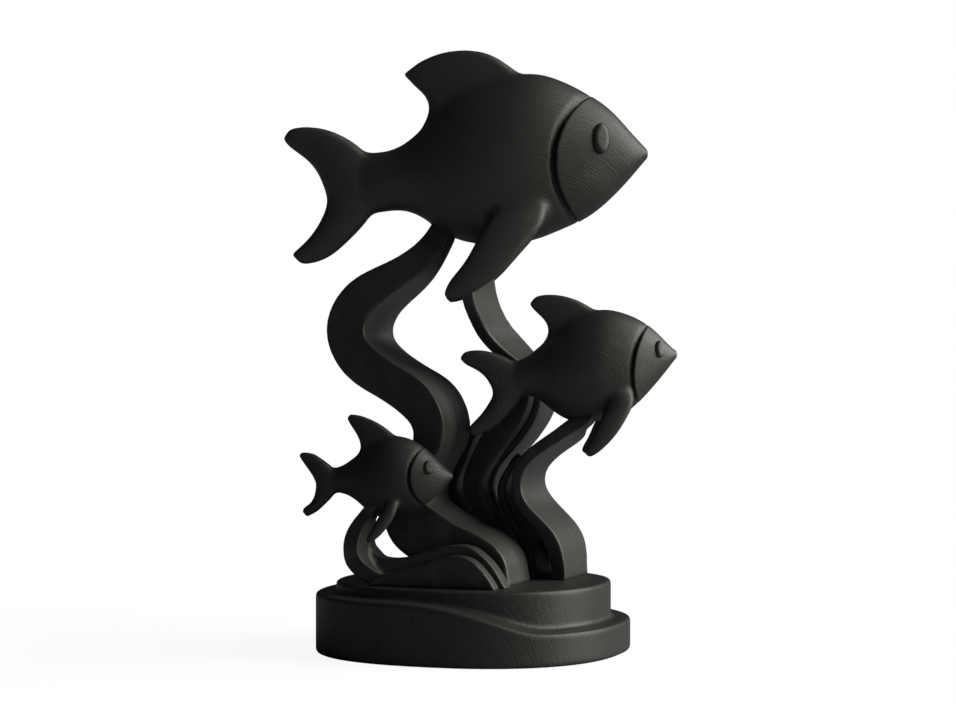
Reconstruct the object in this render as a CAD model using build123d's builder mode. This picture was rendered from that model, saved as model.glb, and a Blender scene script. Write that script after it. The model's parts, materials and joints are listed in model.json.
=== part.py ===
from build123d import *
import os
from math import copysign, cos, pi, radians, sin, sqrt

# A carved and black-stained wooden sculpture: three fish among waving water plants on a two-tier base.
# Frame: millimetres, origin at the middle of the underside, +Z up, +X to the right, -Y to the viewer.
# The plants are sawn square to the front of the base, and the fish are turned from it by one angle.

# Base sizes
PLINTH_LENGTH = 152.6
PLINTH_WIDTH = 150.0
PLINTH_LEFT_HEIGHT = 29.4
PLINTH_RIGHT_HEIGHT = 15.8
PLINTH_EDGE = 1.3
PLINTH_FOOT_EDGE = 0.9
DECK_LENGTH = 134.4
DECK_WIDTH = 124.4
DECK_TOP = 34.7
DECK_SEAT = 8.0
DECK_EDGE = 1.3
BASE_POWER = 2.35
OUTLINE_STEPS = 32
OVERRUN = 5.0

# Wave on the plinth's top: place along half its length, and height between its low and its high side
PLINTH_WAVE_SHARES = [(-0.20, 1.0), (0.13, 0.87), (0.43, 0.46), (0.60, 0.14), (0.78, 0.0)]

# Dowels and pins
STEM_DOWEL_DIAMETER = 4.0
STEM_DOWEL_LENGTH = 14.0
FROND_PIN_DIAMETER = 2.6
FROND_PIN_LENGTH = 10.0
LARGE_DOWEL_DIAMETER = 5.0
MEDIUM_DOWEL_DIAMETER = 4.0
SMALL_DOWEL_DIAMETER = 3.0
SEAT_DOWEL_LENGTH = 14.0
HEAD_DOWEL_LENGTH = 16.0

# Tall stem, which carries the large fish
TALL_FOOT_X = 18.0
TALL_FOOT_Y = -15.5
TALL_TIP_Y = 0.0
TALL_RISE = 171.3
TALL_SWING = 78.0
TALL_WIDTH = 19.0
TALL_DEPTH = 40.0

# Rear stem, the large fish's second support
REAR_FOOT_X = 15.5
REAR_FOOT_Y = 28.0
REAR_TIP_Y = 7.5
REAR_RISE = 169.3
REAR_SWING = 23.0
REAR_WIDTH = 5.4
REAR_DEPTH = 33.0

# Right stem, which carries the medium fish
RIGHT_FOOT_X = 42.0
RIGHT_FOOT_Y = 26.0
RIGHT_TIP_Y = 8.6
RIGHT_RISE = 80.0
RIGHT_SWING = 19.5
RIGHT_WIDTH = 7.5
RIGHT_DEPTH = 40.0

# Curled stem, which carries the small fish
CURL_FOOT_X = -22.0
CURL_FOOT_Y = -38.0
CURL_TIP_Y = -48.0
CURL_RISE = 37.0
CURL_SWING = 21.5
CURL_WIDTH = 7.2
CURL_DEPTH = 26.0

# Fronds between the stems
LEFT_FROND_FOOT_X = 4.0
LEFT_FROND_Y = 22.5
LEFT_FROND_RISE = 82.0
LEFT_FROND_SWING = 21.5
LEFT_FROND_WIDTH = 6.0
LEFT_FROND_DEPTH = 20.0
MIDDLE_FROND_FOOT_X = 20.0
MIDDLE_FROND_Y = 12.4
MIDDLE_FROND_RISE = 96.0
MIDDLE_FROND_SWING = 21.7
MIDDLE_FROND_WIDTH = 6.0
MIDDLE_FROND_DEPTH = 12.0
INNER_FROND_FOOT_X = 27.0
INNER_FROND_Y = 20.5
INNER_FROND_RISE = 62.0
INNER_FROND_SWING = 17.0
INNER_FROND_WIDTH = 5.0
INNER_FROND_DEPTH = 26.0

# Two low waves at the front
FRONT_WAVE_RIGHT_X = 29.0
FRONT_WAVE_LENGTH = 65.0
FRONT_WAVE_HEIGHT = 15.5
FRONT_WAVE_FACE_Y = -51.0
FRONT_WAVE_DEPTH = 7.6
BACK_WAVE_RIGHT_X = 31.8
BACK_WAVE_LENGTH = 64.0
BACK_WAVE_HEIGHT = 20.2
BACK_WAVE_DEPTH = 9.0

# Places of the dowels along the two low waves
WAVE_DOWEL_SHARES = [0.45, 0.72]

# Rows along a stem: sideways, up, fore-and-aft, width and depth, each a share of that stem's own size
TALL_SHARES = [
    (0.00, 0.000, 0.00, 1.27, 0.82), (-0.017, 0.034, 0.03, 1.27, 0.82), (-0.064, 0.062, 0.07, 1.27, 0.83),
    (-0.135, 0.079, 0.09, 1.28, 0.84), (-0.228, 0.094, 0.12, 1.30, 0.84),
    (-0.370, 0.122, 0.14, 1.40, 0.85), (-0.558, 0.190, 0.23, 1.28, 0.88), (-0.565, 0.262, 0.32, 0.99, 0.92),
    (-0.48, 0.345, 0.42, 0.76, 0.95), (-0.41, 0.425, 0.51, 0.84, 0.97), (-0.485, 0.508, 0.61, 0.99, 1.0),
    (-0.695, 0.574, 0.69, 1.00, 1.0), (-0.930, 0.646, 0.77, 1.05, 1.0), (-1.012, 0.730, 0.88, 1.07, 1.0),
    (-0.92, 0.820, 0.98, 0.99, 1.0), (-0.712, 0.885, 1.04, 0.79, 0.86), (-0.546, 0.944, 0.96, 0.68, 0.48),
    (-0.46, 1.0, 1.0, 0.62, 0.29), (-0.42, 1.06, 1.0, 0.52, 0.25),
]
REAR_SHARES = [
    (0.00, 0.000, 0.00, 1.30, 0.48), (-0.02, 0.045, 0.00, 1.26, 0.48), (-0.16, 0.090, 0.00, 1.20, 0.50),
    (-0.40, 0.155, 0.00, 1.12, 0.52), (-0.62, 0.216, 0.00, 1.02, 0.53), (-0.68, 0.266, -0.06, 0.96, 0.60),
    (-0.53, 0.327, -0.14, 0.93, 0.70), (-0.20, 0.383, -0.26, 0.93, 0.85), (0.19, 0.446, -0.26, 0.93, 0.85),
    (0.42, 0.506, -0.26, 0.93, 0.85), (0.46, 0.553, -0.26, 0.93, 0.86), (0.28, 0.600, -0.30, 0.93, 0.92),
    (-0.08, 0.644, -0.36, 0.96, 1.22), (-0.50, 0.704, -0.22, 1.00, 1.42), (-0.65, 0.772, 0.45, 1.04, 1.24),
    (-0.71, 0.836, 0.84, 1.10, 1.12), (-0.67, 0.906, 0.94, 1.18, 0.80), (-0.50, 0.975, 1.0, 1.26, 0.46),
    (-0.24, 1.04, 1.0, 1.30, 0.40),
]
RIGHT_SHARES = [
    (0.00, 0.000, 0.00, 1.06, 1.0), (-0.01, 0.125, 0.09, 1.0, 1.0), (-0.17, 0.262, 0.16, 0.98, 1.06),
    (-0.56, 0.380, 0.22, 0.82, 1.10), (-0.90, 0.480, 0.30, 0.76, 1.08), (-1.0, 0.570, 0.41, 0.70, 1.0),
    (-0.94, 0.665, 0.48, 0.68, 0.98), (-0.75, 0.740, 0.49, 0.72, 1.04), (-0.44, 0.810, 0.44, 0.76, 1.10),
    (-0.05, 0.875, 0.44, 0.80, 1.06), (0.30, 0.937, 0.66, 0.88, 0.74), (0.60, 0.99, 1.0, 1.05, 0.34),
    (0.82, 1.07, 1.0, 1.20, 0.27),
]
CURL_SHARES = [
    (0.00, 0.050, 0.00, 0.62, 0.40), (-0.26, 0.058, 0.06, 0.80, 0.42), (-0.54, 0.082, 0.20, 0.94, 0.50),
    (-0.78, 0.195, 0.45, 1.12, 0.72), (-0.92, 0.335, 0.65, 1.12, 0.90), (-0.955, 0.495, 0.80, 1.06, 0.90),
    (-0.91, 0.665, 0.90, 1.0, 0.80), (-0.785, 0.840, 0.97, 0.88, 0.54), (-0.62, 0.985, 1.0, 0.78, 0.38),
    (-0.34, 1.12, 1.0, 0.74, 0.36),
]
LEFT_FROND_SHARES = [
    (0.00, 0.00, 1.0, 1.0), (-0.04, 0.07, 1.0, 1.0), (-0.30, 0.19, 1.0, 1.0), (-0.70, 0.37, 1.0, 1.0),
    (-0.95, 0.48, 1.0, 1.0), (-1.0, 0.56, 0.98, 0.98), (-0.84, 0.68, 0.92, 0.94),
    (-0.66, 0.80, 0.82, 0.86), (-0.39, 0.91, 0.66, 0.72), (-0.10, 1.0, 0.44, 0.50),
]
MIDDLE_FROND_SHARES = [
    (0.00, 0.00, 1.0, 1.0), (-0.02, 0.065, 1.0, 1.0), (-0.19, 0.125, 1.0, 1.0), (-0.53, 0.253, 1.06, 1.0),
    (-0.89, 0.366, 1.30, 1.0), (-1.09, 0.470, 1.60, 1.0), (-0.98, 0.569, 1.64, 1.0),
    (-0.75, 0.662, 1.82, 1.0), (-0.44, 0.764, 2.00, 0.98), (-0.13, 0.845, 1.70, 0.90),
    (0.11, 0.923, 1.12, 0.76), (0.27, 1.0, 0.52, 0.55),
]
INNER_FROND_SHARES = [
    (0.00, 0.00, 1.0, 1.0), (-0.02, 0.10, 1.0, 1.0), (-0.08, 0.18, 0.94, 0.98), (-0.28, 0.31, 0.86, 0.92),
    (-0.60, 0.45, 0.80, 0.82), (-0.88, 0.58, 0.80, 0.72), (-1.0, 0.70, 0.78, 0.66),
    (-0.91, 0.805, 0.70, 0.62), (-0.72, 0.90, 0.58, 0.56), (-0.47, 1.0, 0.40, 0.46),
]
# Tops of the two low waves, from the left end: along the wave and up it
FRONT_WAVE_SHARES = [
    (0.0, 0.08), (0.10, 0.34), (0.22, 0.48), (0.34, 0.59), (0.46, 0.73), (0.58, 0.92), (0.68, 1.0),
    (0.75, 0.99), (0.81, 0.90), (0.89, 0.63), (0.95, 0.33), (1.0, 0.0),
]
BACK_WAVE_SHARES = [
    (0.0, 0.65), (0.09, 0.63), (0.19, 0.67), (0.31, 0.78), (0.43, 0.90), (0.53, 0.97), (0.62, 1.0),
    (0.72, 0.95), (0.80, 0.80), (0.88, 0.57), (0.94, 0.31), (1.0, 0.0),
]

# Fish sizes
FISH_TURN = 20.0
LARGE_LENGTH = 182.6
LARGE_HEIGHT = 83.8
LARGE_THICKNESS = 48.0
LARGE_FIN = 11.5
LARGE_HOOD_STEP = 2.1
LARGE_EYE_LENGTH = 7.8
LARGE_EYE_HEIGHT = 14.6
LARGE_EYE_RISE = 1.7
MEDIUM_LENGTH = 107.0
MEDIUM_HEIGHT = 54.9
MEDIUM_THICKNESS = 31.0
MEDIUM_FIN = 7.4
MEDIUM_HOOD_STEP = 1.4
MEDIUM_EYE_LENGTH = 4.4
MEDIUM_EYE_HEIGHT = 8.2
MEDIUM_EYE_RISE = 1.1
SMALL_LENGTH = 74.3
SMALL_HEIGHT = 39.1
SMALL_THICKNESS = 22.0
SMALL_FIN = 5.6
SMALL_HOOD_STEP = 1.1
SMALL_EYE_LENGTH = 4.6
SMALL_EYE_HEIGHT = 6.4
SMALL_EYE_RISE = 0.9
HOOD_CREST_SHARE = 0.15
GROOVE_WIDTH_SHARE = 1.7
GROOVE_DEPTH_SHARE = 0.7
EYE_SEAT_SHARE = 1.5
EYE_ROUND_SHARE = 0.85
FIN_EDGE_SHARE = 0.78
FIN_ROUND_SHARE = 0.75
FIN_NARROW_SHARE = 0.3

# Body rows from the nose: back along the length, top and bottom in the height, and width in the thickness
LARGE_BODY_SHARES = [
    (0.000, 0.015, -0.020, 0.04), (0.019, 0.060, -0.068, 0.14), (0.047, 0.126, -0.140, 0.28),
    (0.102, 0.255, -0.266, 0.48), (0.157, 0.341, -0.364, 0.64), (0.240, 0.434, -0.454, 0.83),
    (0.320, 0.474, -0.517, 0.96), (0.405, 0.440, -0.534, 1.00), (0.490, 0.368, -0.527, 0.93),
    (0.556, 0.278, -0.472, 0.78), (0.625, 0.132, -0.371, 0.56), (0.680, 0.040, -0.337, 0.42),
    (0.741, 0.004, -0.350, 0.32), (0.800, -0.030, -0.335, 0.18),
]
MEDIUM_BODY_SHARES = [
    (0.000, 0.018, -0.030, 0.04), (0.032, 0.067, -0.108, 0.20), (0.069, 0.140, -0.200, 0.36),
    (0.125, 0.240, -0.328, 0.55), (0.171, 0.299, -0.424, 0.69), (0.264, 0.372, -0.556, 0.90),
    (0.356, 0.390, -0.600, 1.00), (0.440, 0.345, -0.614, 0.97), (0.519, 0.257, -0.575, 0.84),
    (0.597, 0.113, -0.468, 0.62), (0.657, 0.014, -0.390, 0.46), (0.710, -0.047, -0.374, 0.34),
    (0.770, -0.090, -0.350, 0.18),
]
SMALL_BODY_SHARES = [
    (0.000, 0.020, -0.035, 0.05), (0.036, 0.074, -0.099, 0.22), (0.082, 0.162, -0.200, 0.40),
    (0.147, 0.285, -0.310, 0.60), (0.212, 0.386, -0.403, 0.76), (0.300, 0.466, -0.485, 0.92),
    (0.390, 0.487, -0.517, 1.00), (0.470, 0.439, -0.506, 0.95), (0.540, 0.360, -0.441, 0.82),
    (0.605, 0.274, -0.338, 0.64), (0.680, 0.165, -0.238, 0.45), (0.735, 0.110, -0.207, 0.34),
    (0.800, 0.060, -0.160, 0.18),
]
# Stem's end on the belly: back from the nose in the length, and below the nose in the height
LARGE_SEAT_SHARES = (0.5685, 0.4976)
MEDIUM_SEAT_SHARES = (0.4383, 0.6066)
SMALL_SEAT_SHARES = (0.5276, 0.4297)
# Gill edge: its centre along the length and in the height, and its radius in the length
LARGE_GILL_SHARES = (0.031, -0.065, 0.223)
MEDIUM_GILL_SHARES = (-0.183, -0.175, 0.387)
SMALL_GILL_SHARES = (0.027, 0.0, 0.244)
# Eyes: along the length and in the height
LARGE_EYE_SHARES = (0.132, 0.074)
MEDIUM_EYE_SHARES = (0.083, 0.041)
SMALL_EYE_SHARES = (0.154, 0.112)

# Fin rows from root to tip: front edge and rear edge, each along the length and in the height,
# then thickness in the fin's thickness and distance from the middle plane in half the body's thickness
LARGE_DORSAL_SHARES = [
    (0.385, 0.320, 0.635, 0.020, 1.0, 0), (0.350, 0.474, 0.624, 0.130, 0.95, 0),
    (0.372, 0.509, 0.603, 0.222, 0.88, 0), (0.402, 0.555, 0.600, 0.303, 0.80, 0),
    (0.440, 0.596, 0.618, 0.367, 0.71, 0), (0.495, 0.616, 0.642, 0.416, 0.60, 0),
    (0.560, 0.602, 0.658, 0.452, 0.48, 0), (0.624, 0.547, 0.663, 0.483, 0.30, 0),
]
MEDIUM_DORSAL_SHARES = [
    (0.410, 0.240, 0.645, -0.060, 1.0, 0), (0.375, 0.384, 0.632, 0.060, 0.95, 0),
    (0.410, 0.428, 0.598, 0.146, 0.88, 0), (0.447, 0.467, 0.591, 0.224, 0.80, 0),
    (0.490, 0.500, 0.605, 0.292, 0.71, 0), (0.542, 0.523, 0.635, 0.355, 0.60, 0),
    (0.600, 0.529, 0.662, 0.405, 0.48, 0), (0.652, 0.507, 0.677, 0.450, 0.30, 0),
]
SMALL_DORSAL_SHARES = [
    (0.400, 0.350, 0.660, 0.095, 1.0, 0), (0.370, 0.487, 0.650, 0.205, 0.95, 0),
    (0.410, 0.549, 0.608, 0.285, 0.88, 0), (0.455, 0.614, 0.597, 0.361, 0.80, 0),
    (0.510, 0.675, 0.606, 0.447, 0.71, 0), (0.567, 0.722, 0.630, 0.538, 0.60, 0),
    (0.625, 0.753, 0.660, 0.624, 0.46, 0), (0.667, 0.757, 0.686, 0.715, 0.30, 0),
]
LARGE_TAIL_SHARES = [
    (0.988, 0.125, 1.000, 0.090, 0.24, 0), (0.945, 0.157, 0.962, 0.009, 0.46, 0),
    (0.880, 0.139, 0.918, -0.074, 0.68, 0), (0.805, 0.057, 0.893, -0.170, 0.90, 0),
    (0.735, -0.185, 0.880, -0.257, 1.0, 0), (0.793, -0.453, 0.885, -0.345, 0.90, 0),
    (0.848, -0.570, 0.908, -0.445, 0.68, 0), (0.907, -0.645, 0.946, -0.545, 0.46, 0),
    (0.955, -0.650, 0.976, -0.605, 0.24, 0),
]
MEDIUM_TAIL_SHARES = [
    (0.988, -0.010, 1.000, -0.043, 0.24, 0), (0.945, 0.027, 0.965, -0.105, 0.46, 0),
    (0.880, 0.021, 0.915, -0.156, 0.68, 0), (0.800, -0.027, 0.870, -0.244, 0.90, 0),
    (0.700, -0.214, 0.847, -0.347, 1.0, 0), (0.765, -0.511, 0.858, -0.419, 0.90, 0),
    (0.825, -0.634, 0.890, -0.517, 0.68, 0), (0.890, -0.710, 0.938, -0.620, 0.46, 0),
    (0.940, -0.743, 0.966, -0.706, 0.24, 0),
]
SMALL_TAIL_SHARES = [
    (0.985, 0.281, 1.000, 0.247, 0.24, 0), (0.940, 0.283, 0.965, 0.148, 0.46, 0),
    (0.875, 0.236, 0.925, 0.042, 0.68, 0), (0.815, 0.152, 0.900, -0.038, 0.90, 0),
    (0.740, -0.048, 0.888, -0.110, 1.0, 0), (0.800, -0.289, 0.893, -0.200, 0.90, 0),
    (0.855, -0.394, 0.915, -0.314, 0.68, 0), (0.910, -0.470, 0.955, -0.380, 0.46, 0),
    (0.948, -0.506, 0.977, -0.447, 0.24, 0),
]
LARGE_PECTORAL_SHARES = [
    (0.308, -0.200, 0.398, -0.200, 0.80, 0.45), (0.281, -0.327, 0.409, -0.320, 0.82, 0.68),
    (0.298, -0.455, 0.428, -0.398, 0.78, 0.86), (0.345, -0.577, 0.459, -0.503, 0.70, 0.97),
    (0.400, -0.711, 0.491, -0.633, 0.60, 1.04), (0.455, -0.808, 0.521, -0.723, 0.48, 1.06),
    (0.505, -0.864, 0.545, -0.793, 0.36, 1.05), (0.541, -0.885, 0.556, -0.853, 0.20, 1.02),
]
MEDIUM_PECTORAL_SHARES = [
    (0.233, -0.240, 0.298, -0.250, 0.80, 0.45), (0.217, -0.345, 0.312, -0.360, 0.82, 0.66),
    (0.210, -0.439, 0.327, -0.470, 0.80, 0.84), (0.237, -0.556, 0.348, -0.556, 0.72, 0.96),
    (0.283, -0.700, 0.374, -0.653, 0.62, 1.04), (0.333, -0.812, 0.398, -0.760, 0.50, 1.06),
    (0.379, -0.889, 0.421, -0.838, 0.36, 1.05), (0.411, -0.917, 0.430, -0.887, 0.20, 1.02),
]
SMALL_PECTORAL_SHARES = [
    (0.345, -0.190, 0.405, -0.190, 0.80, 0.45), (0.346, -0.285, 0.425, -0.285, 0.82, 0.68),
    (0.357, -0.385, 0.440, -0.370, 0.78, 0.88), (0.378, -0.494, 0.462, -0.456, 0.70, 1.02),
    (0.415, -0.605, 0.490, -0.546, 0.60, 1.14), (0.460, -0.703, 0.517, -0.637, 0.48, 1.24),
    (0.505, -0.776, 0.540, -0.713, 0.36, 1.33), (0.537, -0.800, 0.552, -0.768, 0.20, 1.40),
]


class Fish:
    """One fish: its sizes, its share tables, and its own plane with the nose at the origin."""

    def __init__(self, name, seat, length, height, thickness, fin, hood_step, seat_shares):
        self.name = name
        self.length = length
        self.height = height
        self.thickness = thickness
        self.fin = fin
        self.hood_step = hood_step
        turn = radians(FISH_TURN)
        self.heading = Vector(cos(turn), sin(turn), 0)
        back, below = seat_shares
        nose = seat + self.heading * back * length + Vector(0, 0, below * height)
        self.plane = Plane(origin=nose, x_dir=self.heading, z_dir=Vector(sin(turn), -cos(turn), 0))

    def spot(self, back_share, up_share, side=0):
        """A point of the fish: back from the nose, up from the nose, and out from the middle plane."""
        return self.plane.from_local_coords(Vector(-back_share * self.length, up_share * self.height, side))

    def flank(self, rows, back_share, up_share):
        """Half the thickness of the fish at one place of its side view."""
        for before, after in zip(rows, rows[1:]):
            if before[0] <= back_share <= after[0]:
                blend = (back_share - before[0]) / (after[0] - before[0])
                top, bottom, width = (a + (b - a) * blend for a, b in zip(before[1:], after[1:]))
        level = (2 * up_share - top - bottom) / (top - bottom)
        return self.thickness / 2 * width * sqrt(max(0, 1 - level**2))


class Ribbon:
    """One sawn stem: a centre line with a width and a depth in each of its rows."""

    def __init__(self, foot_x, foot_y, tip_y, rise, swing, width, depth, rows):
        self.centres = []
        self.sections = []
        for sideways, up, aft, width_share, depth_share in rows:
            x = foot_x + sideways * swing
            y = foot_y + aft * (tip_y - foot_y)
            self.centres.append(Vector(x, y, DECK_TOP + up * rise))
            self.sections.append((depth * depth_share, width * width_share))

    def planes(self):
        """A plane square to the centre line at each row, level at the foot."""
        last = len(self.centres) - 1
        for index, centre in enumerate(self.centres):
            run = self.centres[min(index + 1, last)] - self.centres[max(index - 1, 0)]
            direction = Vector(run.X, 0, run.Z) if index else Vector(0, 0, 1)
            yield Plane(origin=centre, x_dir=(0, 1, 0), z_dir=direction)

    def seat(self):
        """Where the stem reaches the belly that it carries, one row before its end."""
        return self.centres[-2]

    def seat_plane(self):
        """A plane on the belly, square to the stem's last stretch."""
        end = self.centres[-1]
        return Plane(origin=(end + self.centres[-2]) / 2, z_dir=end - self.centres[-3])


def frond_rows(rows):
    """Frond rows keep one place fore and aft."""
    return [(sideways, up, 0, width, depth) for sideways, up, width, depth in rows]


def squircle(length, width):
    """Sketch of a rounded square, between a circle and a square."""
    points = []
    for step in range(OUTLINE_STEPS):
        angle = 2 * pi * step / OUTLINE_STEPS
        across = copysign(abs(cos(angle)) ** (2 / BASE_POWER), cos(angle))
        along = copysign(abs(sin(angle)) ** (2 / BASE_POWER), sin(angle))
        points.append((length / 2 * across, width / 2 * along))
    with BuildSketch() as outline:
        with BuildLine():
            Spline(*points, periodic=True)
        make_face()
    return outline.sketch


def dowels(planes, diameter, length):
    """Round dowels, each half on one side of its plane and half on the other."""
    with BuildPart() as group:
        for plane in planes:
            with BuildSketch(plane):
                Circle(diameter / 2)
            extrude(amount=length / 2, both=True)
    return group


def sawn_stem(ribbon):
    """A stem's four-sided sections, joined from foot to tip."""
    with BuildPart() as stem:
        for plane, (depth, width) in zip(ribbon.planes(), ribbon.sections):
            with BuildSketch(plane):
                Rectangle(depth, width)
        loft()
    return stem


def blade(fish, rows):
    """A fin: in each row a section between its front and rear edges, with curved sides and rounded edges."""
    with BuildPart() as fin:
        for front_back, front_up, rear_back, rear_up, thick_share, out_share in rows:
            out = out_share * fish.thickness / 2
            front = fish.spot(front_back, front_up, out)
            rear = fish.spot(rear_back, rear_up, out)
            chord = front - rear
            across = chord.cross(fish.plane.z_dir)
            reach = chord.length / 2
            half = fish.fin * thick_share / 2
            edge = half * FIN_EDGE_SHARE
            flat = reach - min(edge * FIN_ROUND_SHARE, reach * FIN_NARROW_SHARE)
            with BuildSketch(Plane(origin=(front + rear) / 2, x_dir=chord, z_dir=across)):
                with BuildLine():
                    ThreePointArc((flat, edge), (0, half), (-flat, edge))
                    ThreePointArc((-flat, edge), (-reach, 0), (-flat, -edge))
                    ThreePointArc((-flat, -edge), (0, -half), (flat, -edge))
                    ThreePointArc((flat, -edge), (reach, 0), (flat, edge))
                make_face()
        loft()
    return fin


def carved_length(fish, rows, crest_step=0, side_step=0):
    """The body's oval sections, joined from nose to tail."""
    with BuildPart() as blank:
        for back, top, bottom, width in rows:
            middle = fish.spot(back, (top + bottom) / 2)
            with BuildSketch(Plane(origin=middle, x_dir=fish.plane.z_dir, z_dir=fish.heading)):
                Ellipse(fish.thickness / 2 * width + side_step, fish.height * (top - bottom) / 2 + crest_step)
        loft()
    return blank


def gill_disc(fish, gill, wider=0):
    """Round cutter whose rim is the gill edge in side view."""
    back, up, radius_share = gill
    with BuildPart() as disc:
        with BuildSketch(fish.plane):
            with Locations((-back * fish.length, up * fish.height)):
                Circle(radius_share * fish.length + wider)
        extrude(amount=fish.thickness, both=True)
    return disc


def gill_groove(fish, rows, gill, blank):
    """Cutter for the groove in the flanks along the gill edge, which fades out at crest and belly."""
    depth = fish.hood_step * GROOVE_DEPTH_SHARE
    core = carved_length(fish, rows[2:], depth * HOOD_CREST_SHARE, -depth)
    reach = gill_disc(fish, gill, fish.hood_step * GROOVE_WIDTH_SHARE)
    with BuildPart() as groove:
        add(blank.part)
        add(reach.part, mode=Mode.INTERSECT)
        add(core.part, mode=Mode.SUBTRACT)
    return groove


def head_dowel_plane(fish, gill):
    """Plane of the glued face between head and body, on the fish's own axis."""
    back, up, radius_share = gill
    return Plane(origin=fish.spot(back + radius_share, up), z_dir=fish.heading)


def eye_plane(fish, rows, eye, rise, side):
    """Plane on the head's skin under an eye, sunk by the eye's seat and facing outwards."""
    back, up = eye
    step = rows[1][0]
    skin = fish.flank(rows, back, up) + fish.hood_step
    behind = fish.flank(rows, back + step, up) - fish.flank(rows, back - step, up)
    above = fish.flank(rows, back, up + step) - fish.flank(rows, back, up - step)
    rearward = behind / (2 * step * fish.length)
    upward = above / (2 * step * fish.height)
    facing = fish.heading * rearward + Vector(0, 0, -upward) + fish.plane.z_dir * side
    surface = fish.spot(back, up, side * skin)
    seat = surface - facing.normalized() * rise * EYE_SEAT_SHARE
    return Plane(origin=seat, x_dir=fish.heading.cross(facing).cross(facing) * -1, z_dir=facing)


def eye_button(plane, length, height, rise):
    """One raised oval eye on its plane, rounded over at the top."""
    with BuildPart() as button:
        with BuildSketch(plane):
            Ellipse(length / 2, height / 2)
        extrude(amount=rise * (1 + EYE_SEAT_SHARE))
        crown = button.faces().sort_by(Axis(plane.origin, plane.z_dir))[-1]
        fillet(crown.edges(), radius=rise * EYE_ROUND_SHARE)
    return button


def low_wave(left, face, length, height, depth, shares):
    """A low wave on the deck: its top line in front view, sawn through its depth."""
    top = [(left + along * length, DECK_TOP + up * height) for along, up in shares]
    with BuildPart() as wave:
        with BuildSketch(Plane.XZ.offset(-face)):
            with BuildLine():
                crest = Spline(*top)
                Polyline(crest @ 1, (left, DECK_TOP), crest @ 0)
            make_face()
        extrude(amount=-depth)
    return wave


def write(piece, label):
    """Label a finished piece and write its file."""
    piece.part.label = label
    export_step(piece.part, os.path.join("parts", label + ".step"))


def carve_fish(fish, rows, gill, eyes, fins, seat_planes, dowel_diameter):
    """Make and write one fish: body, head, eyes, fins and dowels. Gives back its body and its dowels."""
    dorsal_rows, tail_rows, pectoral_rows = fins
    dorsal_fin = blade(fish, dorsal_rows)
    tail_fin = blade(fish, tail_rows)
    right_fin = blade(fish, pectoral_rows)
    with BuildPart() as left_fin:
        mirror(right_fin.part, about=fish.plane)
    fish_dowels = dowels(seat_planes, dowel_diameter, SEAT_DOWEL_LENGTH)
    head_dowel = dowels([head_dowel_plane(fish, gill)], dowel_diameter, HEAD_DOWEL_LENGTH)
    disc = gill_disc(fish, gill)
    blank = carved_length(fish, rows)
    hood = carved_length(fish, rows, fish.hood_step * HOOD_CREST_SHARE, fish.hood_step)
    eye_place, eye_length, eye_height, eye_rise = eyes
    right_eye = eye_button(eye_plane(fish, rows, eye_place, eye_rise, 1), eye_length, eye_height, eye_rise)
    left_eye = eye_button(eye_plane(fish, rows, eye_place, eye_rise, -1), eye_length, eye_height, eye_rise)

    with BuildPart() as pair_of_eyes:
        add(right_eye.part)
        add(left_eye.part)

    with BuildPart() as head:
        add(hood.part)
        add(disc.part, mode=Mode.INTERSECT)
        add([pair_of_eyes.part, head_dowel.part], mode=Mode.SUBTRACT)

    with BuildPart() as body:
        add(blank.part)
        add([disc.part, gill_groove(fish, rows, gill, blank).part], mode=Mode.SUBTRACT)
        add([dorsal_fin.part, tail_fin.part, right_fin.part, left_fin.part], mode=Mode.SUBTRACT)
        add([fish_dowels.part, head_dowel.part], mode=Mode.SUBTRACT)

    with BuildPart() as all_dowels:
        add(fish_dowels.part)
        add(head_dowel.part)

    write(body, fish.name + "_body")
    write(head, fish.name + "_head")
    write(pair_of_eyes, fish.name + "_eyes")
    write(dorsal_fin, fish.name + "_dorsal_fin")
    write(tail_fin, fish.name + "_tail_fin")
    write(right_fin, fish.name + "_right_fin")
    write(left_fin, fish.name + "_left_fin")
    write(all_dowels, fish.name + "_dowels")
    return body, all_dowels


os.makedirs("parts", exist_ok=True)

# Centre lines of the stems, and the fish that stand on them
tall = Ribbon(
    TALL_FOOT_X, TALL_FOOT_Y, TALL_TIP_Y, TALL_RISE, TALL_SWING, TALL_WIDTH, TALL_DEPTH, TALL_SHARES)
rear = Ribbon(
    REAR_FOOT_X, REAR_FOOT_Y, REAR_TIP_Y, REAR_RISE, REAR_SWING, REAR_WIDTH, REAR_DEPTH, REAR_SHARES)
right = Ribbon(
    RIGHT_FOOT_X, RIGHT_FOOT_Y, RIGHT_TIP_Y, RIGHT_RISE, RIGHT_SWING, RIGHT_WIDTH, RIGHT_DEPTH, RIGHT_SHARES)
curl = Ribbon(
    CURL_FOOT_X, CURL_FOOT_Y, CURL_TIP_Y, CURL_RISE, CURL_SWING, CURL_WIDTH, CURL_DEPTH, CURL_SHARES)
left_frond = Ribbon(
    LEFT_FROND_FOOT_X, LEFT_FROND_Y, LEFT_FROND_Y, LEFT_FROND_RISE, LEFT_FROND_SWING, LEFT_FROND_WIDTH,
    LEFT_FROND_DEPTH, frond_rows(LEFT_FROND_SHARES))
middle_frond = Ribbon(
    MIDDLE_FROND_FOOT_X, MIDDLE_FROND_Y, MIDDLE_FROND_Y, MIDDLE_FROND_RISE, MIDDLE_FROND_SWING,
    MIDDLE_FROND_WIDTH, MIDDLE_FROND_DEPTH, frond_rows(MIDDLE_FROND_SHARES))
inner_frond = Ribbon(
    INNER_FROND_FOOT_X, INNER_FROND_Y, INNER_FROND_Y, INNER_FROND_RISE, INNER_FROND_SWING, INNER_FROND_WIDTH,
    INNER_FROND_DEPTH, frond_rows(INNER_FROND_SHARES))

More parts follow.
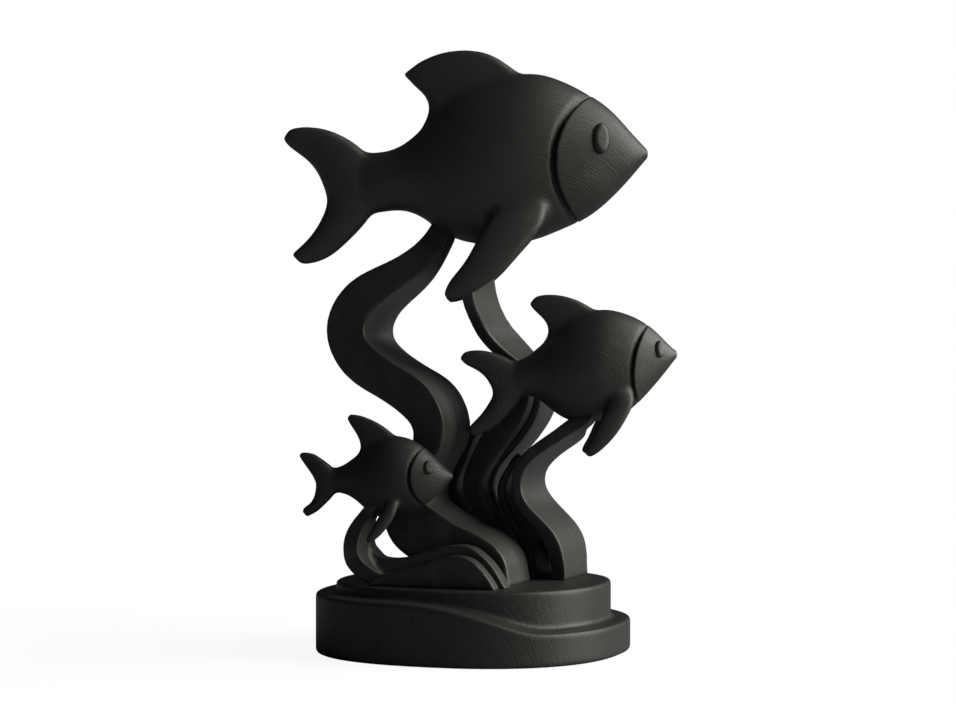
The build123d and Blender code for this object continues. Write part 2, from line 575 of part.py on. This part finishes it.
large = Fish(
    "large", tall.seat(), LARGE_LENGTH, LARGE_HEIGHT, LARGE_THICKNESS, LARGE_FIN, LARGE_HOOD_STEP,
    LARGE_SEAT_SHARES)
medium = Fish(
    "medium", right.seat(), MEDIUM_LENGTH, MEDIUM_HEIGHT, MEDIUM_THICKNESS, MEDIUM_FIN, MEDIUM_HOOD_STEP,
    MEDIUM_SEAT_SHARES)
small = Fish(
    "small", curl.seat(), SMALL_LENGTH, SMALL_HEIGHT, SMALL_THICKNESS, SMALL_FIN, SMALL_HOOD_STEP,
    SMALL_SEAT_SHARES)

# Dowels in the stems' feet and under the two low waves
deck_plane = Plane.XY.offset(DECK_TOP)
stem_dowel_places = []
for stem in (tall, right):
    foot = stem.centres[0]
    apart = stem.sections[0][0] / 2
    stem_dowel_places += [(foot.X, foot.Y - apart / 2), (foot.X, foot.Y + apart / 2)]
stem_dowel_places.append((rear.centres[0].X, rear.centres[0].Y))
front_wave_left = FRONT_WAVE_RIGHT_X - FRONT_WAVE_LENGTH
back_wave_left = BACK_WAVE_RIGHT_X - BACK_WAVE_LENGTH
back_wave_face = FRONT_WAVE_FACE_Y + FRONT_WAVE_DEPTH
for share in WAVE_DOWEL_SHARES:
    front_x = front_wave_left + share * FRONT_WAVE_LENGTH
    back_x = back_wave_left + share * BACK_WAVE_LENGTH
    stem_dowel_places.append((front_x, FRONT_WAVE_FACE_Y + FRONT_WAVE_DEPTH / 2))
    stem_dowel_places.append((back_x, back_wave_face + BACK_WAVE_DEPTH / 2))
pinned = [left_frond.centres[0], middle_frond.centres[0], inner_frond.centres[0], curl.centres[2]]
frond_pin_places = [(place.X, place.Y) for place in pinned]

with BuildPart() as stem_dowels:
    with BuildSketch(deck_plane):
        with Locations(*stem_dowel_places):
            Circle(STEM_DOWEL_DIAMETER / 2)
    extrude(amount=STEM_DOWEL_LENGTH / 2, both=True)

with BuildPart() as frond_pins:
    with BuildSketch(deck_plane):
        with Locations(*frond_pin_places):
            Circle(FROND_PIN_DIAMETER / 2)
    extrude(amount=FROND_PIN_LENGTH / 2, both=True)

# Base: the plinth with its wave, and the deck let into the plinth
with BuildPart() as plinth:
    with BuildSketch():
        add(squircle(PLINTH_LENGTH, PLINTH_WIDTH))
    extrude(amount=PLINTH_LEFT_HEIGHT)
    fillet(plinth.edges().group_by(Axis.Z)[0], radius=PLINTH_FOOT_EDGE)
    with BuildSketch(Plane.XZ):
        with BuildLine():
            drop = PLINTH_LEFT_HEIGHT - PLINTH_RIGHT_HEIGHT
            crest = [(PLINTH_LENGTH / 2 * x, PLINTH_RIGHT_HEIGHT + drop * up) for x, up in PLINTH_WAVE_SHARES]
            wave = Spline(*crest, tangents=[(1, 0), (1, 0)])
            side = PLINTH_LENGTH / 2 + OVERRUN
            lid = PLINTH_LEFT_HEIGHT + OVERRUN
            Polyline(wave @ 1, (side, PLINTH_RIGHT_HEIGHT), (side, lid), (crest[0][0], lid), wave @ 0)
        make_face()
    extrude(amount=PLINTH_WIDTH / 2 + OVERRUN, both=True, mode=Mode.SUBTRACT)
    wall = plinth.faces().filter_by(GeomType.EXTRUSION).sort_by(SortBy.AREA)[-1]
    bends = wall.edges().filter_by(GeomType.BSPLINE)
    fillet(bends.filter_by(lambda edge: edge.center().Z > PLINTH_RIGHT_HEIGHT / 2), radius=PLINTH_EDGE)
    with BuildSketch(Plane.XY.offset(DECK_SEAT)):
        add(squircle(DECK_LENGTH, DECK_WIDTH))
    extrude(amount=PLINTH_LEFT_HEIGHT, mode=Mode.SUBTRACT)

with BuildPart() as deck:
    with BuildSketch(Plane.XY.offset(DECK_SEAT)):
        add(squircle(DECK_LENGTH, DECK_WIDTH))
    extrude(amount=DECK_TOP - DECK_SEAT)
    fillet(deck.edges().group_by(Axis.Z)[-1], radius=DECK_EDGE)
    add(stem_dowels.part, mode=Mode.SUBTRACT)
    add(frond_pins.part, mode=Mode.SUBTRACT)

write(plinth, "plinth")
write(deck, "deck")
write(stem_dowels, "stem_dowels")
write(frond_pins, "frond_pins")

# The three fish
large_body, large_dowels = carve_fish(
    large, LARGE_BODY_SHARES, LARGE_GILL_SHARES,
    (LARGE_EYE_SHARES, LARGE_EYE_LENGTH, LARGE_EYE_HEIGHT, LARGE_EYE_RISE),
    (LARGE_DORSAL_SHARES, LARGE_TAIL_SHARES, LARGE_PECTORAL_SHARES),
    [tall.seat_plane(), rear.seat_plane()], LARGE_DOWEL_DIAMETER)
medium_body, medium_dowels = carve_fish(
    medium, MEDIUM_BODY_SHARES, MEDIUM_GILL_SHARES,
    (MEDIUM_EYE_SHARES, MEDIUM_EYE_LENGTH, MEDIUM_EYE_HEIGHT, MEDIUM_EYE_RISE),
    (MEDIUM_DORSAL_SHARES, MEDIUM_TAIL_SHARES, MEDIUM_PECTORAL_SHARES),
    [right.seat_plane()], MEDIUM_DOWEL_DIAMETER)
small_body, small_dowels = carve_fish(
    small, SMALL_BODY_SHARES, SMALL_GILL_SHARES,
    (SMALL_EYE_SHARES, SMALL_EYE_LENGTH, SMALL_EYE_HEIGHT, SMALL_EYE_RISE),
    (SMALL_DORSAL_SHARES, SMALL_TAIL_SHARES, SMALL_PECTORAL_SHARES),
    [curl.seat_plane()], SMALL_DOWEL_DIAMETER)

# Stems: each is trimmed to the belly that it carries and bored for its dowels
stems = {
    "tall_stem": (tall, [large_body, large_dowels, stem_dowels]),
    "rear_stem": (rear, [large_body, large_dowels, stem_dowels]),
    "right_stem": (right, [medium_body, medium_dowels, stem_dowels]),
    "left_frond": (left_frond, [frond_pins]),
    "middle_frond": (middle_frond, [frond_pins]),
    "inner_frond": (inner_frond, [frond_pins]),
}
for name, (ribbon, cutters) in stems.items():
    blank = sawn_stem(ribbon)
    with BuildPart() as stem:
        add(blank.part)
        add([cutter.part for cutter in cutters], mode=Mode.SUBTRACT)
    write(stem, name)

with BuildPart() as curl_stem:
    add(sawn_stem(curl).part)
    split(bisect_by=deck_plane, keep=Keep.TOP)
    add([small_body.part, small_dowels.part, frond_pins.part], mode=Mode.SUBTRACT)
write(curl_stem, "curl_stem")

# Two low waves, the lower one in front, hollowed where the curled stem runs in behind them
waves = {
    "front_wave": low_wave(front_wave_left, FRONT_WAVE_FACE_Y, FRONT_WAVE_LENGTH, FRONT_WAVE_HEIGHT,
                           FRONT_WAVE_DEPTH, FRONT_WAVE_SHARES),
    "back_wave": low_wave(back_wave_left, back_wave_face, BACK_WAVE_LENGTH, BACK_WAVE_HEIGHT,
                          BACK_WAVE_DEPTH, BACK_WAVE_SHARES),
}
for name, blank in waves.items():
    with BuildPart() as wave:
        add(blank.part)
        add([curl_stem.part, stem_dowels.part], mode=Mode.SUBTRACT)
    write(wave, name)
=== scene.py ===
# %% [markdown]
# A carved sculpture of three fish among water plants, all in black-stained wood.
# The CAD model gives every piece its place and its outline. In Blender the pieces get what a carver's
# gouge and sandpaper give the real ones: fins that flow out of the bodies, softened edges and wood grain.

# %% Load the frame
import json
from math import pi, radians, sin

import bpy
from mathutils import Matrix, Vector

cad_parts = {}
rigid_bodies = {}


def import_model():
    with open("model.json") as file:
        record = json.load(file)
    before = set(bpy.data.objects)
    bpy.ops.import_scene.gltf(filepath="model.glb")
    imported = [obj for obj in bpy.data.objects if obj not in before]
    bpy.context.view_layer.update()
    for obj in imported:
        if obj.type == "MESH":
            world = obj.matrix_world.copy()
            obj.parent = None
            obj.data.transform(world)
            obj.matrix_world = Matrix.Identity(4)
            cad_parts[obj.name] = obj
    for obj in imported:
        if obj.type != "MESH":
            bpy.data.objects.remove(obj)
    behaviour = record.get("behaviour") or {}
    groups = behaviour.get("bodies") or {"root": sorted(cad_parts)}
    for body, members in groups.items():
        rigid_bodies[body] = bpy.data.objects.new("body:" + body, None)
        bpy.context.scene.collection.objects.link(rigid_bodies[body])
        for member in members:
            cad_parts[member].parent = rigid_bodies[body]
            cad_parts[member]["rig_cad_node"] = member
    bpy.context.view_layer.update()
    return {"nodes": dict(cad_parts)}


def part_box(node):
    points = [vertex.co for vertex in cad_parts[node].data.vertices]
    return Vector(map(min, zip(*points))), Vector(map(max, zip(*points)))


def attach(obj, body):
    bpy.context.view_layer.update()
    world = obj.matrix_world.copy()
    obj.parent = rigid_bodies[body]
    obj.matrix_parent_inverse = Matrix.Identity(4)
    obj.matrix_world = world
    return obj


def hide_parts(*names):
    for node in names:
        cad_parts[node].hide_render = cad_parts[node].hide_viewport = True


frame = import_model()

# %% [markdown]
# The photograph was taken with a long lens, level with the middle of the sculpture and from its front right.
# A camera can be placed by eye, but here its place was worked out from the outline of the round base, so the
# numbers are simply set. A turn of 90 degrees about X makes a Blender camera look level.

# %% Camera
CAMERA_PLACE = (0.3879, -1.0598, 0.1463)
CAMERA_TURN = 20
LENS = 85

bpy.ops.object.camera_add(location=CAMERA_PLACE, rotation=(radians(90), 0, radians(CAMERA_TURN)))
camera = bpy.context.object
camera.data.lens = LENS
bpy.context.scene.camera = camera
print("camera", camera.name, "with a lens of", camera.data.lens, "mm")

# %% [markdown]
# One broad soft lamp stands low on the right. It lights the sides of the stems and the faces of the fish, and
# leaves the fronts nearly black. A sun lamp with a wide angle does this evenly over the whole floor, which an
# area lamp can't, and so the floor can be matched to the white background.

# %% Light
KEY_STRENGTH = 4
KEY_HEIGHT = 25
KEY_FORWARD = -18
KEY_SPREAD = 60

bpy.ops.object.light_add(type="SUN", rotation=(0, radians(90 - KEY_HEIGHT), radians(-KEY_FORWARD)))
key = bpy.context.object
key.name = "soft_key"
key.data.energy = KEY_STRENGTH
key.data.angle = radians(KEY_SPREAD)
bpy.context.scene.view_settings.view_transform = "Standard"
print(key.name, "stands", KEY_HEIGHT, "degrees above the floor")

# %% [markdown]
# Materials and the world are built from nodes. By hand, a node is added, its fields are filled in, and its
# sockets are wired. This helper does the three in that order, because some fields decide which sockets there are.

# %% A node, its fields and its sockets
def add_node(owner, kind, sockets=(), **fields):
    """A new node in a material or world. A socket gets a value, or a link where an output is given."""
    node = owner.node_tree.nodes.new("ShaderNode" + kind)
    for field, value in fields.items():
        setattr(node, field, value)
    for socket, value in dict(sockets).items():
        if isinstance(value, bpy.types.NodeSocket):
            owner.node_tree.links.new(value, node.inputs[socket])
        else:
            node.inputs[socket].default_value = value
    return node


# %% [markdown]
# The floor looks white, but a white floor would throw light up into the dark fronts of the carving. So it is
# grey, and only the camera sees it mixed with a glow. The lit share of the mix carries the shadow, and the glow
# lifts it to the white of the background.

# %% Floor
FILL = 0.03
FLOOR_SIZE = 12
FLOOR_COLOUR = 0.35
FLOOR_GLOW = 0.6

bpy.ops.mesh.primitive_plane_add(size=FLOOR_SIZE)
floor = bpy.context.object
floor.name = "floor"

pale = bpy.data.materials.new("pale_floor")
pale.use_nodes = True
matte = pale.node_tree.nodes["Principled BSDF"]
matte.inputs["Base Color"].default_value = (FLOOR_COLOUR, FLOOR_COLOUR, FLOOR_COLOUR, 1)
matte.inputs["Roughness"].default_value = 1
matte.inputs["Specular IOR Level"].default_value = 0
lit_floor = FLOOR_COLOUR * (KEY_STRENGTH * sin(radians(KEY_HEIGHT)) / pi + FILL)
glow_strength = (1 - (1 - FLOOR_GLOW) * lit_floor) / FLOOR_GLOW
glow = add_node(pale, "Emission", {"Strength": glow_strength})
ray = add_node(pale, "LightPath")
share = add_node(pale, "MapRange", {"Value": ray.outputs["Is Camera Ray"], "To Max": FLOOR_GLOW})
both = add_node(pale, "MixShader", {
    "Fac": share.outputs["Result"], 1: matte.outputs["BSDF"], 2: glow.outputs["Emission"]})
pale.node_tree.links.new(both.outputs["Shader"], pale.node_tree.nodes["Material Output"].inputs["Surface"])
floor.data.materials.append(pale)
print("lit floor", round(lit_floor, 3), "is lifted to white by a glow of", round(glow_strength, 3))

# %% [markdown]
# The world is white for the camera only. For all other rays it is a faint fill, so that the white doesn't flood
# the dark fronts either.

# %% Background
world = bpy.data.worlds.new("white_studio")
world.use_nodes = True
bpy.context.scene.world = world
background = world.node_tree.nodes["Background"]
background.inputs["Color"].default_value = (1, 1, 1, 1)
ray = add_node(world, "LightPath")
strength = add_node(world, "MapRange", {"Value": ray.outputs["Is Camera Ray"], "To Min": FILL, "To Max": 1})
world.node_tree.links.new(strength.outputs["Result"], background.inputs["Strength"])
print(world.name, "fills the shade with", FILL)

# %% [markdown]
# Black stain sinks into wood and still shows its growth rings. The rings are built as in a tree: distance from
# the pith of a log gives the ring. A wave texture would make all rings alike, so a one-dimensional noise along
# that distance is used, which gives wide and narrow, strong and faint rings. A second, slower noise makes them
# wander.

# %% Growth rings
MM = 0.001
WANDER_SCALE = 26
WANDER = 3.5
RING_SCALE = 2
SEASON_START, SEASON_END = 0.3, 0.6


def growth_rings(wood, log, ring):
    """Late wood is 0 and early wood 1, in rings of about that width in mm around the Z axis of the log."""
    across = add_node(wood, "VectorMath", {0: log, 1: (1, 1, 0)}, operation="MULTIPLY")
    radius = add_node(wood, "VectorMath", {0: across.outputs["Vector"]}, operation="LENGTH")
    count = add_node(wood, "Math", {0: radius.outputs["Value"], 1: ring * MM}, operation="DIVIDE")
    wander = add_node(wood, "TexNoise", {"Vector": log, "Scale": WANDER_SCALE, "Detail": 3})
    wandering = add_node(wood, "Math", {
        0: wander.outputs["Fac"], 1: WANDER, 2: count.outputs["Value"]}, operation="MULTIPLY_ADD")
    rings = add_node(wood, "TexNoise", {
        "W": wandering.outputs["Value"], "Scale": RING_SCALE, "Detail": 1}, noise_dimensions="1D")
    season = add_node(wood, "MapRange", {
        "Value": rings.outputs["Fac"], "From Min": SEASON_START, "From Max": SEASON_END},
        interpolation_type="SMOOTHSTEP")
    return season.outputs["Result"]


# %% [markdown]
# The colour goes from late to early wood with the rings. Real rings aren't equally clear everywhere, so a noise
# lets them fade to the mean colour here and there, and a fine noise that is stretched along the log adds fibres.

# %% Stain
EARLY_WOOD = (0.034, 0.0333, 0.0300)
LATE_WOOD = (0.020, 0.0195, 0.0172)
FADE_SCALE = 70
FADE_START, FADE_END = 0.35, 0.7
FADED = 0.3
FIBRES_PER_METRE = (1800, 1800, 60)
FLECKS = 0.2


def ring_clarity(wood, place):
    """How clearly the rings show at a place, from 1 down to FADED."""
    fade = add_node(wood, "TexNoise", {"Vector": place, "Scale": FADE_SCALE})
    clarity = add_node(wood, "MapRange", {
        "Value": fade.outputs["Fac"], "From Min": FADE_START, "From Max": FADE_END, "To Min": 1, "To Max": FADED})
    return clarity.outputs["Result"]


def stain_colour(wood, log, season, clarity, tone_and_painted_light):
    """Colour of the stained rings and fibres, both stains multiplied by a tone that on some fish paints light and
    shade.
    """
    early = [tone_and_painted_light * value for value in EARLY_WOOD]
    late = [tone_and_painted_light * value for value in LATE_WOOD]
    mean = [(one + other) / 2 for one, other in zip(early, late)]
    stain = add_node(wood, "Mix", {"A": (*late, 1), "B": (*early, 1), "Factor": season}, data_type="RGBA")
    faded = add_node(wood, "Mix", {
        "A": (*mean, 1), "B": stain.outputs["Result"], "Factor": clarity}, data_type="RGBA")
    stretch = add_node(wood, "VectorMath", {0: log, 1: FIBRES_PER_METRE}, operation="MULTIPLY")
    fibre = add_node(wood, "TexNoise", {"Vector": stretch.outputs["Vector"], "Scale": 1, "Detail": 3})
    flecked = add_node(wood, "Mix", {
        "A": faded.outputs["Result"], "B": fibre.outputs["Color"], "Factor": FLECKS},
        data_type="RGBA", blend_type="OVERLAY")
    return flecked.outputs["Result"]


# %% [markdown]
# Early wood is softer, so sanding and stain leave it a little smoother and the rings stand in a fine relief. A
# Mapping node of the Texture type holds the place and turn of the log, so that each part of the sculpture can be
# cut from its log in its own direction.

# %% Stained wood
SATIN = 0.5
LATE_ROUGHER, EARLY_SMOOTHER = 0.05, 0.03
SHINE = 0.65
SHINE_TINT = (1, 0.985, 0.9, 1)
RIDGE = 0.08


def stained_wood(name, log_place, log_turn, ring, tone_and_painted_light=1, relief=0.9):
    """Black-stained wood from a log whose pith passes through log_place, with rings of about that width in mm."""
    wood = bpy.data.materials.new(name)
    wood.use_nodes = True
    place = add_node(wood, "TexCoord").outputs["Object"]
    log = add_node(wood, "Mapping", vector_type="TEXTURE", sockets={
        "Vector": place, "Location": log_place, "Rotation": [radians(turn) for turn in log_turn]}).outputs["Vector"]
    season = growth_rings(wood, log, ring)
    clarity = ring_clarity(wood, place)
    gloss = add_node(wood, "MapRange", {
        "Value": season, "To Min": SATIN + LATE_ROUGHER, "To Max": SATIN - EARLY_SMOOTHER})
    ridges = add_node(wood, "Math", {0: season, 1: clarity}, operation="MULTIPLY")
    bump = add_node(wood, "Bump", {"Height": ridges.outputs["Value"], "Strength": relief, "Distance": RIDGE * MM})
    surface = wood.node_tree.nodes["Principled BSDF"]
    # The same tone scales the sheen, so where it is above 1 it paints a brighter highlight.
    surface.inputs["Specular IOR Level"].default_value = SHINE * tone_and_painted_light
    surface.inputs["Specular Tint"].default_value = SHINE_TINT
    links = wood.node_tree.links
    links.new(stain_colour(wood, log, season, clarity, tone_and_painted_light), surface.inputs["Base Color"])
    links.new(gloss.outputs["Result"], surface.inputs["Roughness"])
    links.new(bump.outputs["Normal"], surface.inputs["Normal"])
    return wood


# %% [markdown]
# On the flanks and faces of the fish the rings show as closed ovals, so their logs point almost at the viewer.
# The stems were cut along an upright log, far from its pith, and show long streaks.

# %% Logs
TOWARDS_VIEWER = (80, 0, 20)
UPRIGHT = (0, 0, 0)

large_fish_wood = stained_wood("large_fish_wood", (0.0191, 0.0131, 0.1735), TOWARDS_VIEWER, 1.4)
large_face_wood = stained_wood("large_face_wood", (0.0416, 0.0213, 0.2125), TOWARDS_VIEWER, 1.3)
medium_fish_wood = stained_wood("medium_fish_wood", (0.057, 0.010, 0.133), TOWARDS_VIEWER, 1.2)
# Its tone of 1.3 brightens colour and sheen of the medium face: painted light and painted highlight.
medium_face_wood = stained_wood("medium_face_wood", (0.060, 0.010, 0.100), TOWARDS_VIEWER, 1.1, tone_and_painted_light=1.3)
# Tones of 0.6 and 0.8 darken the small fish and its face: painted shade.
small_fish_wood = stained_wood("small_fish_wood", (-0.025, -0.044, 0.078), TOWARDS_VIEWER, 1.0, tone_and_painted_light=0.6)
small_face_wood = stained_wood("small_face_wood", (-0.010, -0.040, 0.060), TOWARDS_VIEWER, 1.0, tone_and_painted_light=0.8)
stem_wood = stained_wood("stem_wood", (-0.05, 0.42, 0), UPRIGHT, 6.0, relief=1)
base_wood = stained_wood("base_wood", (0.0256, -0.067, -0.05), (25, 0, 20), 1.7, tone_and_painted_light=0.85, relief=0.6)
print("woods:", [material.name for material in bpy.data.materials if material.name.endswith("wood")])

# %% [markdown]
# Each carved piece starts from copies of its CAD solids, joined into one mesh. The mesh of a CAD node is loose
# triangles, so the copies are merged before anything else is done to them.

# %% Copies of the solids
MERGE = 0.01


def copy_as_one(name, nodes, extra):
    """One mesh with copies of these nodes and with the added objects."""
    bpy.ops.object.select_all(action="DESELECT")
    for node in nodes:
        frame["nodes"][node].select_set(True)
    bpy.context.view_layer.objects.active = frame["nodes"][nodes[0]]
    bpy.ops.object.duplicate()
    piece = bpy.context.view_layer.objects.active
    for added in extra:
        added.select_set(True)
    if len(nodes) + len(extra) > 1:
        bpy.ops.object.join()
    bpy.ops.object.parent_clear(type="CLEAR_KEEP_TRANSFORM")
    piece.name = name
    piece.data.name = name
    del piece["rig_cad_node"]
    bpy.ops.object.mode_set(mode="EDIT")
    bpy.ops.mesh.select_all(action="SELECT")
    bpy.ops.mesh.remove_doubles(threshold=MERGE * MM)
    bpy.ops.object.mode_set(mode="OBJECT")
    return piece


# %% [markdown]
# The edges could be bevelled one by one, but a carver doesn't work like that: the whole surface is worn down
# together. So a voxel remesh casts the copies again as one even skin. Swelling that skin, casting it once more and
# shrinking it back fills the inside corners, such as those between body and fins, with the hollows that a round
# gouge leaves. Last, a Smooth modifier sands the skin and rounds its edges. What sanding takes off is given back
# in the shrinking.

# %% Carving and sanding
EVENING = 2
CUT_FACING = (0.38, 0.14, 1)


def work(piece, kind, **fields):
    """Give the piece a modifier of this kind and apply it."""
    modifier = piece.modifiers.new(kind.lower(), kind)
    for field, value in fields.items():
        setattr(modifier, field, value)
    bpy.ops.object.modifier_apply(modifier=modifier.name)


def carve(name, nodes, voxel, hollow, sanding, regain, wood, extra=(), cut=None):
    """One carved piece for these nodes, in mm: size of voxel, radius of inside corners, rounds of sanding, regain.
    Added objects are carved with them. What stands above a plane through the point cut is taken off."""
    piece = copy_as_one(name, nodes, extra)
    work(piece, "REMESH", mode="VOXEL", voxel_size=voxel * MM)
    work(piece, "SMOOTH", iterations=EVENING)
    work(piece, "DISPLACE", strength=hollow * MM, mid_level=0)
    work(piece, "REMESH", mode="VOXEL", voxel_size=voxel * MM)
    work(piece, "DISPLACE", strength=(regain - hollow) * MM, mid_level=0)
    work(piece, "SMOOTH", iterations=sanding)
    if cut:
        bpy.ops.object.mode_set(mode="EDIT")
        bpy.ops.mesh.select_all(action="SELECT")
        bpy.ops.mesh.bisect(plane_co=cut, plane_no=CUT_FACING, use_fill=True, clear_outer=True)
        bpy.ops.object.mode_set(mode="OBJECT")
    bpy.ops.object.shade_smooth()
    piece.data.materials.clear()
    piece.data.materials.append(wood)
    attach(piece, "root")
    print(name, "has", len(piece.data.polygons), "faces")
    return piece


# %% [markdown]
# On each fish the fins flow out of the body without a seam, so body and fins are carved as one skin. The face
# stays a piece of its own, because a crisp groove sets it off behind the gills: it has a finer voxel and little
# sanding. The eyes are sanded longest, which turns their flat discs into low domes.

# %% Fish
FISH = {
    "large": (0.8, 3.2, large_fish_wood, large_face_wood),
    "medium": (0.6, 2.2, medium_fish_wood, medium_face_wood),
    "small": (0.5, 1.2, small_fish_wood, small_face_wood),
}

for fish, (voxel, hollow, fish_wood, face_wood) in FISH.items():
    fins = [fish + fin for fin in ("_dorsal_fin", "_tail_fin", "_right_fin", "_left_fin")]
    skin = carve(fish + "_fish", [fish + "_body", *fins, fish + "_dowels"],
                 voxel, hollow, sanding=18, regain=voxel / 2, wood=fish_wood)
    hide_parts(fish + "_body", *fins)
    face = carve(fish + "_face", [fish + "_head"],
                 voxel * 0.6, hollow=voxel, sanding=4, regain=voxel / 3, wood=face_wood)
    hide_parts(fish + "_head")
    eyes = carve(fish + "_pupils", [fish + "_eyes"],
                 voxel * 0.4, hollow=voxel, sanding=70, regain=voxel * 0.7, wood=face_wood)
    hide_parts(fish + "_eyes")

# %% [markdown]
# Behind the foot of the innermost frond no light comes through in the photograph. A small block at its heel closes
# the gap, and it is carved together with the frond.

# %% Inner frond
HEEL_HALF = (2.5 * MM, 5 * MM, 9 * MM)
HEEL_BACK = 1 * MM

frond_low, frond_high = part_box("inner_frond")
bpy.ops.mesh.primitive_cube_add(
    location=(frond_high.x - HEEL_HALF[0], frond_high.y + HEEL_BACK, frond_low.z + HEEL_HALF[2]), scale=HEEL_HALF)
heel = bpy.context.object
bpy.ops.object.transform_apply(location=True, rotation=True, scale=True)
frond = carve("inner_frond_carved", ["inner_frond"],
              voxel=0.5, hollow=1, sanding=24, regain=0.25, wood=stem_wood, extra=[heel])
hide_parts("inner_frond")

# %% [markdown]
# The other ribbons that end freely, or out of sight, are carved one by one, which keeps the lines between them
# crisp. The longest has the coarsest voxel.

# %% Free stems
STEMS = {"rear_stem": 0.7, "left_frond": 0.5, "middle_frond": 0.5, "front_wave": 0.5}

for stem, voxel in STEMS.items():
    ribbon = carve(stem + "_carved", [stem], voxel, hollow=2 * voxel, sanding=24, regain=voxel / 2, wood=stem_wood)
    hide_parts(stem)

# %% [markdown]
# A stem doesn't end bluntly at the belly that it carries: it flares into it. So the belly is cast together with
# the stem, which hollows out the corner between them, and all but the lowest slice of the belly is cut off
# again. That slice lies just under the skin of the fish, and only the flare shows.

# %% Stems that flare into a belly
FLARED = {
    "tall_stem": ("large", 0.8, 4.5, (-0.018, 0, 0.221)),
    "right_stem": ("medium", 0.7, 3, (0.054, 0.009, 0.124)),
}

for stem, (fish, voxel, hollow, cut) in FLARED.items():
    ribbon = carve(stem + "_carved", [stem, fish + "_body", fish + "_dowels"],
                   voxel, hollow, sanding=24, regain=0.1, wood=stem_wood, cut=cut)
    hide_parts(stem)

# %% [markdown]
# The curled stem runs on into the wave beside it as one ribbon. Two small blocks, one of them turned, fill the
# corner between them, and carving all of it together turns that corner into one bend.

# %% Curl and wave
BLOCK = 9
BLOCK_PLACES = ((-2, 5.6, 0), (-7.1, 13, 45))

wave_low, wave_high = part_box("back_wave")
blocks = []
for along, up, turn in BLOCK_PLACES:
    bpy.ops.mesh.primitive_cube_add(
        size=BLOCK * MM, rotation=(0, radians(turn), 0),
        location=(wave_low.x + along * MM, (wave_low.y + wave_high.y) / 2, wave_low.z + up * MM))
    bpy.ops.object.transform_apply(location=True, rotation=True, scale=True)
    blocks.append(bpy.context.object)
curl = carve("curl_and_wave", ["curl_stem", "back_wave", "small_body", "small_dowels"],
             voxel=0.5, hollow=2, sanding=16, regain=0.1, wood=stem_wood,
             extra=blocks, cut=(-0.035, -0.048, 0.079))
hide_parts("curl_stem", "back_wave")

# %% [markdown]
# The two tiers of the base are carved as one, which leaves a hollow along the foot of the upper tier. They are
# sanded only a little, because the rims of the real base are still quite sharp.

# %% Base
base = carve("base_carved", ["plinth", "deck"], voxel=0.85, hollow=0.5, sanding=3, regain=0.1, wood=base_wood)
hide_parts("plinth", "deck")

# %% [markdown]
# The dowels and pins are inside the wood and need no carving. They stay as the CAD model has them, in the wood of
# the stems.

# %% Dowels
DOWELS = ("stem_dowels", "frond_pins", "large_dowels", "medium_dowels", "small_dowels")

for node in DOWELS:
    frame["nodes"][node].data.materials.clear()
    frame["nodes"][node].data.materials.append(stem_wood)
print(len(DOWELS), "nodes with dowels and pins have the wood of the stems")
